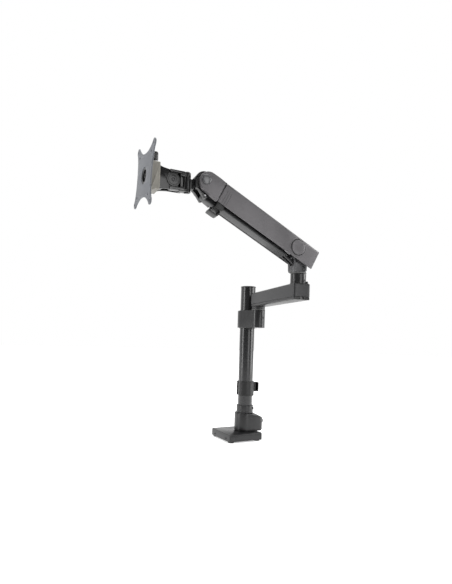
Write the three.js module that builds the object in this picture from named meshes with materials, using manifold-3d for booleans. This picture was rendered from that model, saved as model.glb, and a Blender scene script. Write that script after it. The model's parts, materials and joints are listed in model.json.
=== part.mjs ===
// Gas-spring monitor arm on a pole, with a clamp-on base. Millimetres, +Z up.
// The origin is on the desk surface under the pole's axis.
// +X runs along the base plate's front edge, +Y to its rear.
// The arm's groups are nested, as the real pieces hang on one another.
// Each group's own +X runs along its piece.
import * as THREE from 'three';
import { mergeVertices } from 'three/addons/utils/BufferGeometryUtils.js';
import Module from 'manifold-3d';

const wasm = await Module();
wasm.setup();

// ---- driving dimensions ----
const GAP = 0.3;                 // between pieces that touch
const ROUND = 32;                // facets round a cylinder
const WALL = 3;                  // covers and shells

const BASE = { x0: -74, x1: 26, y0: -48, y1: 52, top: 22, foot: 2.6, corner: 6 };
const HOUSING = { radius: 28, right: 46, corner: 13, top: 71, slopeX: 20, slopeTop: 57 };
const LOCK_RING = { radius: 23, bottom: 71.3, top: 92 };
const POLE = { radius: 20, bore: 17.5, bottom: 25, top: 416 };
const CAP = { radius: 20.8, lip: 2.6, plug: 12 };
const POLE_CLIP = { bottom: 118, top: 157, radius: 23.6, azimuth: -8, slot: 16 };

const COLLAR = { bottom: 304, top: 351, radius: 27, endRadius: 17.8, reach: 48, azimuth: -86.4 };
const LINER = { radius: 22.4, proud: 1.2 };
const LINK = {
  azimuth: -101.4, length: 219, width: 40, bottom: 361, top: 396.4,
  edge: 5, corner: 6.5, washer: 1.7,
};
const LINK_COVER = { width: 33, height: 4.6, start: 16 };
const POST = { radius: 17, top: 418 };
const PIN = { radius: 8 };

const NECK = 19;
const BRACKET = { azimuth: 173.6, bottom: 420.2, width: 30, slot: 15.6, front: 19, rear: -15 };
const REAR_PIVOT = { x: 17.9, z: 470.5 };
const LOWER_PIVOT = { x: -2, z: -28 };          // from the rear pivot, and from the front pivot
const SPRING_ANCHOR = { x: 0, z: -18 };         // from the rear pivot
const ARM = {
  lift: 27.4, length: 240, width: 50, rear: -50, seam: 199.7,
  top: 21.3, bottom: -22.8, wall: 2.6,
};
const STUB_BOTTOM = -18;
const YOKE = { end: 232, radius: 20.6, cheek: 8, root: 165 };
const RAIL = { width: 26, top: -19, bottom: -26, rear: 12, front: 196, tongue: 15, lane: 8.4, wall: 2.2 };
const ARM_CLIP = { rear: 181, front: 198, floor: -31, leg: 18.6, low: -39.6 };
const PIVOT_PIN = 5;
const SADDLE_GAP = 1.2;
const SPRING = { radius: 7.5, rod: 3.2, line: -10, seat: 62, front: 176, eye: 188 };

const HEAD = { turn: 4, drop: 6, panAxis: 31, tiltAxis: 64, height: 39, width: 21 };
const BARREL = { radius: 7, middle: 23.6 };
const BLOCK = { rear: 93, front: 112.8, width: 36, height: 51 };
const PLATE = {
  face: 120, thickness: 2.6, turn: 10, waist: 46, notch: 40,
  ear: 50, earRadius: 7.6, hole: 15.5,
};
const VESA_PATTERNS = [75, 100];
const VESA_HOLE = 2.4;
const KNOB = { x: 98.5, radius: 5.6, bottom: 33.6, top: 49.8, stem: 2.6 };

const rad = THREE.MathUtils.degToRad;

// ---- finishes ----
const satinBlack = () => new THREE.MeshStandardMaterial({ color: 0x1b1b1d, roughness: 0.42, metalness: 0.35 });
const powderBlack = () => new THREE.MeshStandardMaterial({ color: 0x222224, roughness: 0.55, metalness: 0.3 });
const plasticBlack = () => new THREE.MeshStandardMaterial({ color: 0x161617, roughness: 0.5, metalness: 0 });
const rubberBlack = () => new THREE.MeshStandardMaterial({ color: 0x101010, roughness: 0.9, metalness: 0 });
const greyBlock = () => new THREE.MeshStandardMaterial({ color: 0x4b4a45, roughness: 0.5, metalness: 0.3 });
const steel = () => new THREE.MeshStandardMaterial({ color: 0x9a9a9c, roughness: 0.35, metalness: 0.9 });
const nylon = () => new THREE.MeshStandardMaterial({ color: 0xb8b6ae, roughness: 0.6, metalness: 0 });

// ---- solids: joins and cuts ----
function solid(geometry) {
  const bare = geometry.clone();
  bare.deleteAttribute('normal');
  bare.deleteAttribute('uv');
  const merged = mergeVertices(bare, 1e-4);
  const vertProperties = new Float32Array(merged.attributes.position.array);
  const triVerts = new Uint32Array(merged.index.array);
  return new wasm.Manifold(new wasm.Mesh({ numProp: 3, vertProperties, triVerts }));
}

function geometryOf(manifold) {
  const mesh = manifold.getMesh();
  const geometry = new THREE.BufferGeometry();
  geometry.setAttribute('position', new THREE.BufferAttribute(new Float32Array(mesh.vertProperties), 3));
  geometry.setIndex(new THREE.BufferAttribute(new Uint32Array(mesh.triVerts), 1));
  return geometry;
}

function join(first, ...others) {
  return geometryOf(others.reduce((sum, other) => sum.add(solid(other)), solid(first)));
}

function cut(first, ...tools) {
  return geometryOf(tools.reduce((rest, tool) => rest.subtract(solid(tool)), solid(first)));
}

// ---- plain shapes, each placed in its group's own axes ----
function block(x0, x1, y0, y1, z0, z1) {
  const geometry = new THREE.BoxGeometry(x1 - x0, y1 - y0, z1 - z0);
  return geometry.translate((x0 + x1) / 2, (y0 + y1) / 2, (z0 + z1) / 2);
}

function upright(radius, z0, z1, x = 0, y = 0, facets = ROUND) {
  const geometry = new THREE.CylinderGeometry(radius, radius, z1 - z0, facets);
  return geometry.rotateX(Math.PI / 2).translate(x, y, (z0 + z1) / 2);
}

function across(radius, y0, y1, x, z, facets = ROUND) {
  return new THREE.CylinderGeometry(radius, radius, y1 - y0, facets).translate(x, (y0 + y1) / 2, z);
}

function along(radius, x0, x1, y, z, facets = ROUND) {
  const geometry = new THREE.CylinderGeometry(radius, radius, x1 - x0, facets);
  return geometry.rotateZ(-Math.PI / 2).translate((x0 + x1) / 2, y, z);
}

function tube(outer, inner, z0, z1, x = 0, y = 0) {
  const profile = [[inner, z0], [outer, z0], [outer, z1], [inner, z1], [inner, z0]];
  const geometry = new THREE.LatheGeometry(profile.map(([r, z]) => new THREE.Vector2(r, z)), ROUND);
  return geometry.rotateX(Math.PI / 2).translate(x, y, 0);
}

// an outline in X and Y, raised from z0 to z1
function raised(shape, z0, z1, curveSegments = 4) {
  const geometry = new THREE.ExtrudeGeometry(shape, { depth: z1 - z0, bevelEnabled: false, curveSegments });
  return geometry.translate(0, 0, z0);
}

// an outline in X and Z, carried from y0 to y1
function side(shape, y0, y1, curveSegments = 8) {
  const geometry = new THREE.ExtrudeGeometry(shape, { depth: y1 - y0, bevelEnabled: false, curveSegments });
  return geometry.rotateX(Math.PI / 2).translate(0, y1, 0);
}

// an outline in Y and Z, carried from x0 to x1
function endwise(shape, x0, x1, curveSegments = 10) {
  const geometry = new THREE.ExtrudeGeometry(shape, { depth: x1 - x0, bevelEnabled: false, curveSegments });
  return geometry.rotateX(Math.PI / 2).rotateZ(Math.PI / 2).translate(x0, 0, 0);
}

function roundedRectangle(x0, x1, y0, y1, radius) {
  const shape = new THREE.Shape();
  shape.absarc(x1 - radius, y0 + radius, radius, -Math.PI / 2, 0);
  shape.absarc(x1 - radius, y1 - radius, radius, 0, Math.PI / 2);
  shape.absarc(x0 + radius, y1 - radius, radius, Math.PI / 2, Math.PI);
  shape.absarc(x0 + radius, y0 + radius, radius, Math.PI, 1.5 * Math.PI);
  return shape;
}

function polygon(points) {
  return new THREE.Shape(points.map(([x, y]) => new THREE.Vector2(x, y)));
}

// two circles joined by their outer tangents
function pear(x0, r0, x1, r1) {
  const lean = Math.acos((r0 - r1) / (x1 - x0));
  const shape = new THREE.Shape();
  shape.absarc(x0, 0, r0, lean, 2 * Math.PI - lean);
  shape.absarc(x1, 0, r1, -lean, lean);
  return shape;
}

function piece(name, geometry, material) {
  const mesh = new THREE.Mesh(geometry, material);
  mesh.name = name;
  return mesh;
}

// ---- base and pole ----
function baseCover() {
  const { x0, x1, y0, y1, top, foot, corner } = BASE;
  const outer = raised(roundedRectangle(x0, x1, y0, y1, corner), foot + GAP, top);
  const inside = [x0 + WALL, x1 - WALL, y0 + WALL, y1 - WALL, corner - WALL + 1];
  const inner = raised(roundedRectangle(...inside), foot, top - WALL);
  return cut(outer, inner, upright(POLE.bore - 2, top - WALL - 1, top + 1));
}

function baseCore() {
  const margin = WALL + GAP;
  const { x0, x1, y0, y1, top, foot, corner } = BASE;
  const outline = roundedRectangle(x0 + margin, x1 - margin, y0 + margin, y1 - margin, corner - 2);
  return raised(outline, foot + GAP, top - WALL - GAP, 4);
}

function housingOutline(inset) {
  const radius = HOUSING.radius - inset;
  const right = HOUSING.right - inset;
  const corner = HOUSING.corner - inset;
  const shape = new THREE.Shape();
  shape.absarc(0, 0, radius, Math.PI / 2, 1.5 * Math.PI);
  shape.absarc(right - corner, -radius + corner, corner, -Math.PI / 2, 0);
  shape.absarc(right - corner, radius - corner, corner, 0, Math.PI / 2);
  return shape;
}

function baseHousing() {
  const { right, top, slopeX, slopeTop, radius } = HOUSING;
  const outer = raised(housingOutline(0), BASE.top + GAP, top, 12);
  const inner = raised(housingOutline(WALL), BASE.top, slopeTop - WALL, 10);
  const slope = side(polygon([[slopeX, top], [right + 1, slopeTop], [right + 1, top + 1], [slopeX, top + 1]]),
    -radius - 1, radius + 1);
  return cut(outer, inner, slope, upright(POLE.radius + GAP, slopeTop - WALL - 1, top + 1));
}

function poleFoot() {
  const inside = POLE.bore - GAP;
  const flange = upright(POLE.bore - 2 - GAP, BASE.top - WALL, BASE.top + GAP);
  const seat = upright(HOUSING.radius - WALL - 1, BASE.top + GAP, POLE.bottom - GAP);
  const plug = upright(inside, POLE.bottom - GAP, HOUSING.slopeTop);
  return join(flange, seat, plug);
}

function baseGroup() {
  const group = new THREE.Group();
  const { x0, x1, y0, y1, foot } = BASE;
  group.add(piece('base_cover', baseCover(), satinBlack()));
  group.add(piece('base_core_plate', baseCore(), steel()));
  const inset = 10;
  const corners = [
    [x0 + inset, y0 + inset], [x1 - inset, y0 + inset],
    [x1 - inset, y1 - inset], [x0 + inset, y1 - inset]];
  corners.forEach(([x, y], i) => {
    group.add(piece(`base_foot_${i + 1}`, upright(8, 0, foot, x, y, 16), rubberBlack()));
  });
  [-28, 32].forEach((y, i) => {
    group.add(piece(`base_side_screw_${i + 1}`, along(2.6, x0 - 1.2, x0 - GAP, y, 10, 16), steel()));
  });
  group.add(piece('base_housing', baseHousing(), satinBlack()));
  group.add(piece('pole_foot', poleFoot(), steel()));
  const clampHead = join(
    along(6.2, HOUSING.right + GAP, HOUSING.right + 5, -9, 47, 24),
    along(4, HOUSING.right + 4, HOUSING.right + 6.2, -9, 47, 6));
  group.add(piece('clamp_screw', clampHead, plasticBlack()));
  const lockRing = tube(LOCK_RING.radius, POLE.radius + GAP, LOCK_RING.bottom, LOCK_RING.top);
  group.add(piece('lock_ring', lockRing, satinBlack()));
  const ringScrew = along(2.8, LOCK_RING.radius + GAP, LOCK_RING.radius + 2.6, 0, 0, 12);
  ringScrew.rotateZ(rad(-50)).translate(0, 0, 84);
  group.add(piece('lock_ring_screw', ringScrew, steel()));
  group.add(piece('pole_tube', tube(POLE.radius, POLE.bore, POLE.bottom, POLE.top), satinBlack()));
  const cap = join(
    upright(CAP.radius, POLE.top + GAP, POLE.top + CAP.lip),
    upright(POLE.bore - GAP, POLE.top - CAP.plug, POLE.top + GAP + 0.1));
  group.add(piece('pole_cap', cap, plasticBlack()));
  return group;
}

// ---- cable clip on the pole: a split ring with a hook ----
function poleClip() {
  const { bottom, top, radius, slot } = POLE_CLIP;
  const ring = tube(radius, POLE.radius + GAP, bottom, top);
  const split = block(-radius - 2, -POLE.radius / 2, -slot / 2, slot / 2, bottom - 1, top + 1);
  const lug = { low: bottom + 11, high: top - 3 };
  const arm = block(radius - 1.5, radius + 3, -9, 9, lug.low, lug.high);
  const floor = block(radius - 1, radius + 14, 6, 9, lug.low, lug.high);
  const lip = block(radius + 11, radius + 14, -7.5, 9, lug.low, lug.high);
  return cut(join(ring, arm, floor, lip), split);
}

function poleClipGroup() {
  const group = new THREE.Group();
  group.rotation.z = rad(POLE_CLIP.azimuth);
  group.add(piece('pole_cable_clip', poleClip(), plasticBlack()));
  return group;
}

// ---- height collar: a plastic liner in a pear-shaped clamp block ----
function collarBlock() {
  const { bottom, top, radius, endRadius, reach } = COLLAR;
  const body = raised(pear(0, radius, reach, endRadius), bottom, top, 14);
  return cut(body,
    upright(LINER.radius + GAP, bottom - 1, top + 1),
    upright(PIN.radius + GAP, bottom + 12, top + 1, reach));
}

function collarGroup() {
  const group = new THREE.Group();
  const { bottom, top, radius, endRadius, reach } = COLLAR;
  group.rotation.z = rad(COLLAR.azimuth);
  const liner = tube(LINER.radius, POLE.radius + GAP, bottom - LINER.proud, top + LINER.proud);
  group.add(piece('collar_liner', liner, nylon()));
  group.add(piece('collar_block', collarBlock(), satinBlack()));
  const middle = (bottom + top) / 2;
  const heightScrew = join(
    across(5, radius + GAP, radius + 4, 0, middle, 20),
    across(3, radius + 3, radius + 5.2, 0, middle, 6));
  group.add(piece('collar_height_screw', heightScrew, steel()));
  const setScrew = along(3, endRadius + GAP, endRadius + 1.6, 0, 0, 12).rotateZ(rad(38));
  group.add(piece('collar_set_screw', setScrew.translate(reach, 0, middle + 3), steel()));
  const pinTop = LINK.top - 6;
  group.add(piece('link_pivot_pin', upright(PIN.radius, bottom + 12 + GAP, pinTop, reach, 0), steel()));
  return group;
}

// ---- lower link: a bar with a cable channel, its cover, and the post that the arm turns on ----
function linkBar() {
  const { length, width, bottom, top, edge, corner } = LINK;
  const half = width / 2;
  const end = length + half;
  const outline = new THREE.Shape();
  outline.absarc(0, 0, half, Math.PI / 2, 1.5 * Math.PI);
  outline.absarc(end - corner, -half + corner, corner, -Math.PI / 2, 0);
  outline.absarc(end - corner, half - corner, corner, 0, Math.PI / 2);
  const plain = raised(outline, bottom, top - edge, 9);
  const crown = new THREE.ExtrudeGeometry(outline, {
    depth: 0.2, bevelEnabled: true, bevelThickness: edge, bevelSize: edge, bevelOffset: -edge,
    bevelSegments: 2, curveSegments: 9 }).translate(0, 0, top - edge - 0.2);
  const crownTop = cut(crown, block(-width, end + width, -width, width, bottom - width, top - edge - 0.1));
  const boss = upright(POST.radius, COLLAR.top + LINK.washer + 2 * GAP, bottom + 1);
  const lid = LINK_COVER;
  const recess = block(
    lid.start, end + 1, -lid.width / 2 - GAP, lid.width / 2 + GAP,
    bottom - 1, bottom + lid.height + GAP);
  const channel = block(26, length - 24, -13, 13, bottom, top - 9);
  return cut(join(plain, crownTop, boss), recess, channel,
    upright(PIN.radius + GAP, bottom - 20, top - 5),
    upright(PIN.radius + GAP, bottom + 2, top + 1, length));
}

function linkCover() {
  const { start, width, height } = LINK_COVER;
  const half = width / 2;
  const end = LINK.length + LINK.width / 2 - 0.5;
  const lid = block(start + GAP, end, -half, half, LINK.bottom + GAP, LINK.bottom + height);
  return cut(lid, block(end - 5, end + 1, -5.5, 5.5, LINK.bottom, LINK.bottom + height + 1));
}

function linkGroup() {
  const group = new THREE.Group();
  const { length, top } = LINK;
  const washerBottom = COLLAR.top + GAP;
  const washer = tube(POST.radius + 0.6, PIN.radius + GAP, washerBottom, washerBottom + LINK.washer);
  group.add(piece('link_washer', washer, nylon()));
  group.add(piece('link_bar', linkBar(), satinBlack()));
  group.add(piece('link_cable_cover', linkCover(), plasticBlack()));
  const post = tube(POST.radius, PIN.radius + GAP, top + GAP, POST.top, length);
  group.add(piece('swivel_post', post, satinBlack()));
  const postScrew = along(2.4, POST.radius + GAP, POST.radius + 1.2, 0, 0, 12).rotateZ(rad(18));
  group.add(piece('swivel_post_screw', postScrew.translate(length, 0, top + 6), steel()));
  const upperWasher = tube(
    POST.radius + 0.4, PIN.radius + GAP, POST.top + GAP, BRACKET.bottom - GAP, length);
  group.add(piece('swivel_washer', upperWasher, nylon()));
  group.add(piece('swivel_pin', upright(PIN.radius, LINK.bottom + 6, BRACKET.bottom + 11, length), steel()));
  const stop = upright(2.2, top + GAP, top + 4.5, length + 14.2, 13.6, 14);
  group.add(piece('rotation_stop', stop, plasticBlack()));
  return group;
}

// ---- swivel bracket: a fork on the post that holds both rear pivots and the spring ----
function swivelBracket() {
  const half = BRACKET.width / 2;
  const { front, rear, bottom, slot } = BRACKET;
  const outline = new THREE.Shape();
  outline.moveTo(rear, bottom);
  outline.lineTo(front, bottom);
  outline.lineTo(front + 9, REAR_PIVOT.z - 6);
  outline.absarc(REAR_PIVOT.x, REAR_PIVOT.z, 11, -0.4, Math.PI - 0.5);
  outline.lineTo(rear, bottom + 9);
  const body = side(outline, -half, half, 12);
  const hub = upright(POST.radius, bottom, bottom + 9);
  const gapBottom = bottom + 9;
  const fork = block(rear - 30, front + 30, -slot / 2, slot / 2, gapBottom, REAR_PIVOT.z + 20);
  const corner = upright(NECK, bottom - 1, REAR_PIVOT.z - 25);
  const lower = { x: REAR_PIVOT.x + LOWER_PIVOT.x, z: REAR_PIVOT.z + LOWER_PIVOT.z };
  const anchor = { x: REAR_PIVOT.x + SPRING_ANCHOR.x, z: REAR_PIVOT.z + SPRING_ANCHOR.z };
  const neckTop = REAR_PIVOT.z - 26;
  const low = geometryOf(solid(cut(body, block(rear - 30, front + 30, -half - 1, half + 1, neckTop, 600)))
    .intersect(solid(corner)));
  const high = cut(body, block(rear - 30, front + 30, -half - 1, half + 1, bottom - 1, neckTop - 1));
  const reach = ARM.width / 2 - ARM.wall - GAP;
  const boss = across(8.5, -reach, reach, REAR_PIVOT.x, REAR_PIVOT.z, 24);
  return cut(join(low, high, hub, boss), fork,
    upright(PIN.radius + GAP, bottom - 1, bottom + 12),
    across(PIVOT_PIN + GAP, -reach - 1, reach + 1, REAR_PIVOT.x, REAR_PIVOT.z, 20),
    across(3 + GAP, -half - 1, half + 1, lower.x, lower.z, 16),
    across(3 + GAP, -half - 1, half + 1, anchor.x, anchor.z, 16));
}

function bracketGroup() {
  const group = new THREE.Group();
  const half = BRACKET.width / 2;
  const lower = { x: REAR_PIVOT.x + LOWER_PIVOT.x, z: REAR_PIVOT.z + LOWER_PIVOT.z };
  const anchor = { x: REAR_PIVOT.x + SPRING_ANCHOR.x, z: REAR_PIVOT.z + SPRING_ANCHOR.z };
  group.add(piece('swivel_bracket', swivelBracket(), satinBlack()));
  const rearPin = across(PIVOT_PIN, -half - 7, half + 7, REAR_PIVOT.x, REAR_PIVOT.z, 24);
  group.add(piece('rear_pivot_pin', rearPin, steel()));
  group.add(piece('rail_rear_pin', across(3, -half, half, lower.x, lower.z, 20), steel()));
  group.add(piece('spring_anchor_pin', across(3, -half, half, anchor.x, anchor.z, 20), steel()));
  return group;
}

// ---- upper arm: X runs from the rear pivot to the front pivot, Z is square to the arm ----
function armSection(inset) {
  const half = ARM.width / 2 - inset;
  const edge = 5 - Math.min(inset, 3);
  const shape = new THREE.Shape();
  shape.moveTo(-half, ARM.bottom - (inset ? 5 : 0));
  shape.lineTo(half, ARM.bottom - (inset ? 5 : 0));
  shape.absarc(half - edge, ARM.top - inset - edge, edge, 0, Math.PI / 2);
  shape.absarc(-half + edge, ARM.top - inset - edge, edge, Math.PI / 2, Math.PI);
  return shape;
}

function armCover() {
  const { rear, seam, wall, bottom, top } = ARM;
  const half = ARM.width / 2;
  const outer = endwise(armSection(0), rear, seam, 6);
  const inner = endwise(armSection(wall), rear + 3, seam + 1, 6);
  const notch = block(rear - 1, rear + 4, -half + 6, half - 6, bottom - 1, 4);
  const bore = across(PIVOT_PIN + GAP, -half - 1, half + 1, 0, 0, 24);
  const tensionHole = upright(4.5, top - 6, top + 1, 30, 0, 20);
  return cut(outer, inner, notch, bore, tensionHole);
}

function frontYoke() {
  const { end, radius, cheek, root } = YOKE;
  const half = ARM.width / 2;
  const outline = new THREE.Shape();
  outline.moveTo(ARM.seam + GAP, -radius - 3.6);
  outline.lineTo(end - 6, -radius);
  outline.absarc(end, 0, radius, -Math.PI / 2, Math.PI / 2);
  outline.lineTo(ARM.seam + GAP, ARM.top);
  const head = side(outline, -half, half, 9);
  const inner = half - ARM.wall - GAP;
  const stub = block(root, ARM.seam + 1, -inner, inner, STUB_BOTTOM, ARM.top - ARM.wall - GAP - 3);
  const mouth = block(ARM.seam - 4, end + 40, -half + cheek, half - cheek, -40, 40);
  const springBay = block(root - 1, ARM.seam - 3, -14.5, 14.5, STUB_BOTTOM - 1, 4);
  return cut(join(head, stub), mouth, springBay,
    across(PIVOT_PIN + GAP, -half - 1, half + 1, ARM.length, 0, 20),
    across(3 + GAP, -half - 1, half + 1, SPRING.eye, SPRING.line, 16));
}

// a shallow dome, its flat side towards the arm
function dome(radius, height, y, x, z, sign) {
  const points = [new THREE.Vector2(0, 0), new THREE.Vector2(radius, 0), new THREE.Vector2(radius, height * 0.45)];
  const steps = 3;
  for (let i = 1; i <= steps; i += 1) {
    const turn = (i / steps) * (Math.PI / 2);
    points.push(new THREE.Vector2(i === steps ? 0 : radius * Math.cos(turn), height * (0.45 + 0.55 * Math.sin(turn))));
  }
  const geometry = new THREE.LatheGeometry(points, 24);
  if (sign < 0) geometry.rotateX(Math.PI);
  return geometry.translate(x, y, z);
}

// a stirrup round the rail, with its legs held in the cover and a hook underneath
function armClip() {
  const { rear, front, floor, leg, low } = ARM_CLIP;
  const outer = ARM.width / 2 - ARM.wall - GAP;
  const body = block(rear, front, -outer, outer, floor - 2.4, STUB_BOTTOM - 1);
  const tunnel = block(rear - 1, front + 1, -leg, leg, floor, 0);
  const hook = side(polygon([
    [rear, floor - 1], [rear, low - 3], [front + 5, low - 3], [front + 5, floor - 7.5],
    [front + 2.4, floor - 7.5], [front + 2.4, low - 0.4], [rear + 2.6, low - 0.4], [rear + 2.6, floor - 1]]), -10, 10);
  return join(cut(body, tunnel), hook);
}

function gasCylinder() {
  const { radius, line, front, seat, eye, rod } = SPRING;
  const barrel = along(radius, seat, front, 0, line, 24);
  const neck = along(4, front - 1, eye, 0, line, 16);
  const ring = across(5, -6, 6, eye, line, 20);
  return cut(join(barrel, neck, ring),
    along(rod + GAP, seat - 1, front - 6, 0, line, 14),
    across(3 + GAP, -7, 7, eye, line, 16));
}

// the rod's saddle stands just clear of the anchor pin, where the closed linkage is left open
function springRod(anchorX) {
  const seat = anchorX + 3 + SADDLE_GAP;
  const rod = along(SPRING.rod, seat + 3, SPRING.seat + 60, 0, SPRING.line, 14);
  return join(rod, block(seat, seat + 5, -3.4, 3.4, -20, -7));
}

function armGroup() {
  const group = new THREE.Group();
  const half = ARM.width / 2;
  const lift = rad(ARM.lift);
  const anchorX = SPRING_ANCHOR.x * Math.cos(lift) + SPRING_ANCHOR.z * Math.sin(lift);
  group.rotation.y = -lift;
  group.add(piece('arm_cover', armCover(), powderBlack()));
  group.add(piece('front_yoke', frontYoke(), powderBlack()));
  [1, -1].forEach((sign) => {
    const word = sign > 0 ? 'left' : 'right';
    group.add(piece(`rear_cap_${word}`, dome(16, 1.8, sign * (half + GAP), 0, 0, sign), powderBlack()));
    const frontCap = dome(10, 3.4, sign * (half + GAP), ARM.length, 0, sign);
    group.add(piece(`front_cap_${word}`, frontCap, plasticBlack()));
  });
  group.add(piece('arm_cable_clip', armClip(), plasticBlack()));
  group.add(piece('front_pivot_pin', across(PIVOT_PIN, -half + 1, half - 1, ARM.length, 0, 24), steel()));
  group.add(piece('spring_front_pin', across(3, -half + 4, half - 4, SPRING.eye, SPRING.line, 16), steel()));
  group.add(piece('gas_spring_cylinder', gasCylinder(), steel()));
  group.add(piece('gas_spring_rod', springRod(anchorX), steel()));
  return group;
}

// ---- lower rail: runs beside the upper arm and keeps the head level ----
function lowerRail(rearX, rearZ, frontX) {
  const { width, top, bottom, rear, front, tongue, wall } = RAIL;
  const half = width / 2;
  const lane = tongue / 2 - GAP;
  const body = raised(roundedRectangle(rear, front, -half, half, 6), bottom, top, 6);
  const hollow = block(rear - 1, front - 5, -half + wall, half - wall, bottom + wall, top + 1);
  const rearTongue = side(polygon([
    [rearX, rearZ - 6], [rear + 1, bottom], [rear + 9, bottom], [rear + 9, bottom + wall], [rearX, rearZ + 2]]), -lane, lane);
  const frontTongue = side(polygon([
    [front - 15, bottom], [frontX, rearZ - 5.5], [frontX, rearZ + 5.5], [front - 4, top], [front - 4, bottom + wall],
    [front - 15, bottom + wall]]), -lane, lane);
  const rearEye = across(6, -lane, lane, rearX, rearZ, 20);
  const frontEye = across(5.5, -lane, lane, frontX, rearZ, 20);
  const springLane = block(rearX - 9, rear + 7, -RAIL.lane / 2, RAIL.lane / 2, rearZ - 20, rearZ + 20);
  return cut(join(cut(body, hollow), rearTongue, frontTongue, rearEye, frontEye), springLane,
    across(3 + GAP, -20, 20, rearX, rearZ, 16),
    across(3 + GAP, -20, 20, frontX, rearZ, 16));
}

function railGroup() {
  const group = new THREE.Group();
  const lift = rad(ARM.lift);
  const rearX = LOWER_PIVOT.x * Math.cos(lift) + LOWER_PIVOT.z * Math.sin(lift);
  const rearZ = -LOWER_PIVOT.x * Math.sin(lift) + LOWER_PIVOT.z * Math.cos(lift);
  group.rotation.y = -lift;
  group.add(piece('lower_rail', lowerRail(rearX, rearZ, rearX + ARM.length), plasticBlack()));
  return group;
}

// ---- knuckle: carried level by the two links, with the tongue of the pan hinge ----
function knuckleBody() {
  const half = ARM.width / 2 - YOKE.cheek - GAP;
  const centre = -HEAD.drop;
  const outline = new THREE.Shape();
  outline.moveTo(LOWER_PIVOT.x - 6, LOWER_PIVOT.z);
  outline.absarc(LOWER_PIVOT.x, LOWER_PIVOT.z, 6.5, Math.PI, 1.6 * Math.PI);
  outline.lineTo(13, centre - 12);
  outline.lineTo(19, centre - 6);
  outline.lineTo(19, centre + 14);
  outline.absarc(0, 0, 19, 0.42, Math.PI);
  const core = side(outline, -half, half, 9);
  const slot = block(
    LOWER_PIVOT.x - 30, LOWER_PIVOT.x + 9, -RAIL.tongue / 2, RAIL.tongue / 2,
    LOWER_PIVOT.z - 20, LOWER_PIVOT.z + 14);
  const back = block(-40, -9.5, -half - 1, half + 1, -60, 40);
  return cut(core, slot, back,
    across(PIVOT_PIN + GAP, -half - 1, half + 1, 0, 0, 24),
    across(3 + GAP, -half - 1, half + 1, LOWER_PIVOT.x, LOWER_PIVOT.z, 20));
}

function panNeck() {
  const centre = -HEAD.drop;
  const half = BARREL.middle / 2 - GAP;
  const tongue = block(19 + GAP, HEAD.panAxis, -4, 4, centre - half + 2, centre + half - 2);
  const pad = block(19 + GAP, 21.4, -7, 7, centre - half + 1, centre + half - 1);
  const barrel = upright(BARREL.radius, centre - half, centre + half, HEAD.panAxis, 0, 28);
  return cut(join(tongue, pad, barrel), upright(3 + GAP, centre - 40, centre + 40, HEAD.panAxis, 0, 20));
}

function knuckleGroup() {
  const group = new THREE.Group();
  const half = ARM.width / 2 - YOKE.cheek - GAP;
  group.add(piece('knuckle', knuckleBody(), satinBlack()));
  group.add(piece('pan_neck', panNeck(), satinBlack()));
  group.add(piece('rail_front_pin', across(2, -half, half, LOWER_PIVOT.x, LOWER_PIVOT.z, 16), steel()));
  return group;
}

// ---- head: X runs from the pan hinge to the display ----
function panYoke() {
  const tall = HEAD.height / 2;
  const half = HEAD.width / 2;
  const ear = BARREL.middle / 2 + GAP;
  const axis = HEAD.panAxis;
  const lug = HEAD.tiltAxis;
  const upper = upright(BARREL.radius, ear, tall, axis, 0, 28);
  const lower = upright(BARREL.radius, -tall, -ear, axis, 0, 28);
  const upperArm = block(axis, axis + 18, -BARREL.radius, BARREL.radius, ear, tall);
  const lowerArm = block(axis, axis + 18, -BARREL.radius, BARREL.radius, -tall, -ear);
  const bridge = block(axis + 8.5, axis + 18, -half, half, -tall + 1.5, tall - 1.5);
  const pocket = block(axis + 8, axis + 16, 3, half + 1, -10.5, 10.5);
  const tongue = block(axis + 17, lug, -5.4, 5.4, -12, 12);
  const round = across(13, -5.4, 5.4, lug, 0, 28);
  return cut(join(upper, lower, upperArm, lowerArm, bridge, tongue, round),
    pocket, pocket.clone().rotateX(Math.PI),
    upright(3 + GAP, -tall - 1, tall + 1, axis, 0, 20),
    across(4 + GAP, -8, 8, lug, 0, 20));
}

function tiltFork() {
  const half = HEAD.width / 2;
  const tall = HEAD.height / 2;
  const { rear } = BLOCK;
  const outline = new THREE.Shape();
  outline.absarc(HEAD.tiltAxis, 0, 14, Math.PI / 2, 1.5 * Math.PI);
  outline.lineTo(HEAD.tiltAxis + 5, -tall + 1);
  outline.lineTo(rear - 14, -tall);
  outline.quadraticCurveTo(rear - 6, -tall, rear - GAP, -tall - 3.5);
  outline.lineTo(rear - GAP, tall + 3.5);
  outline.quadraticCurveTo(rear - 6, tall, rear - 14, tall);
  outline.lineTo(HEAD.tiltAxis + 5, tall - 1);
  const body = side(outline, -half, half, 9);
  const slot = block(HEAD.tiltAxis - 20, rear - 9, -6, 6, -40, 40);
  return cut(body, slot, across(4 + GAP, -half - 1, half + 1, HEAD.tiltAxis, 0, 20));
}

function displayBlock() {
  const { rear, front, width, height } = BLOCK;
  const half = width / 2;
  const tall = height / 2;
  const outline = new THREE.Shape();
  outline.moveTo(rear, -tall);
  outline.lineTo(rear + 6, -tall);
  outline.lineTo(front, -tall - 6);
  outline.lineTo(front, tall);
  outline.lineTo(rear + 1.5, tall);
  outline.lineTo(rear, tall - 1.5);
  const body = side(outline, -half, half);
  return cut(body,
    along(9 + GAP, rear + 5, front + 1, 0, 0, 28),
    upright(KNOB.stem + GAP, 14, tall + 1, KNOB.x, 0, 20));
}

function releaseKnob() {
  const { x, radius, bottom, top, stem } = KNOB;
  const grip = upright(radius, bottom, top - 2, x, 0, 24);
  const crown = new THREE.CylinderGeometry(radius - 1.6, radius, 2, 24).rotateX(Math.PI / 2).translate(x, 0, top - 1);
  return join(grip, crown, upright(stem, 15, bottom + 1, x, 0, 20));
}

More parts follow.
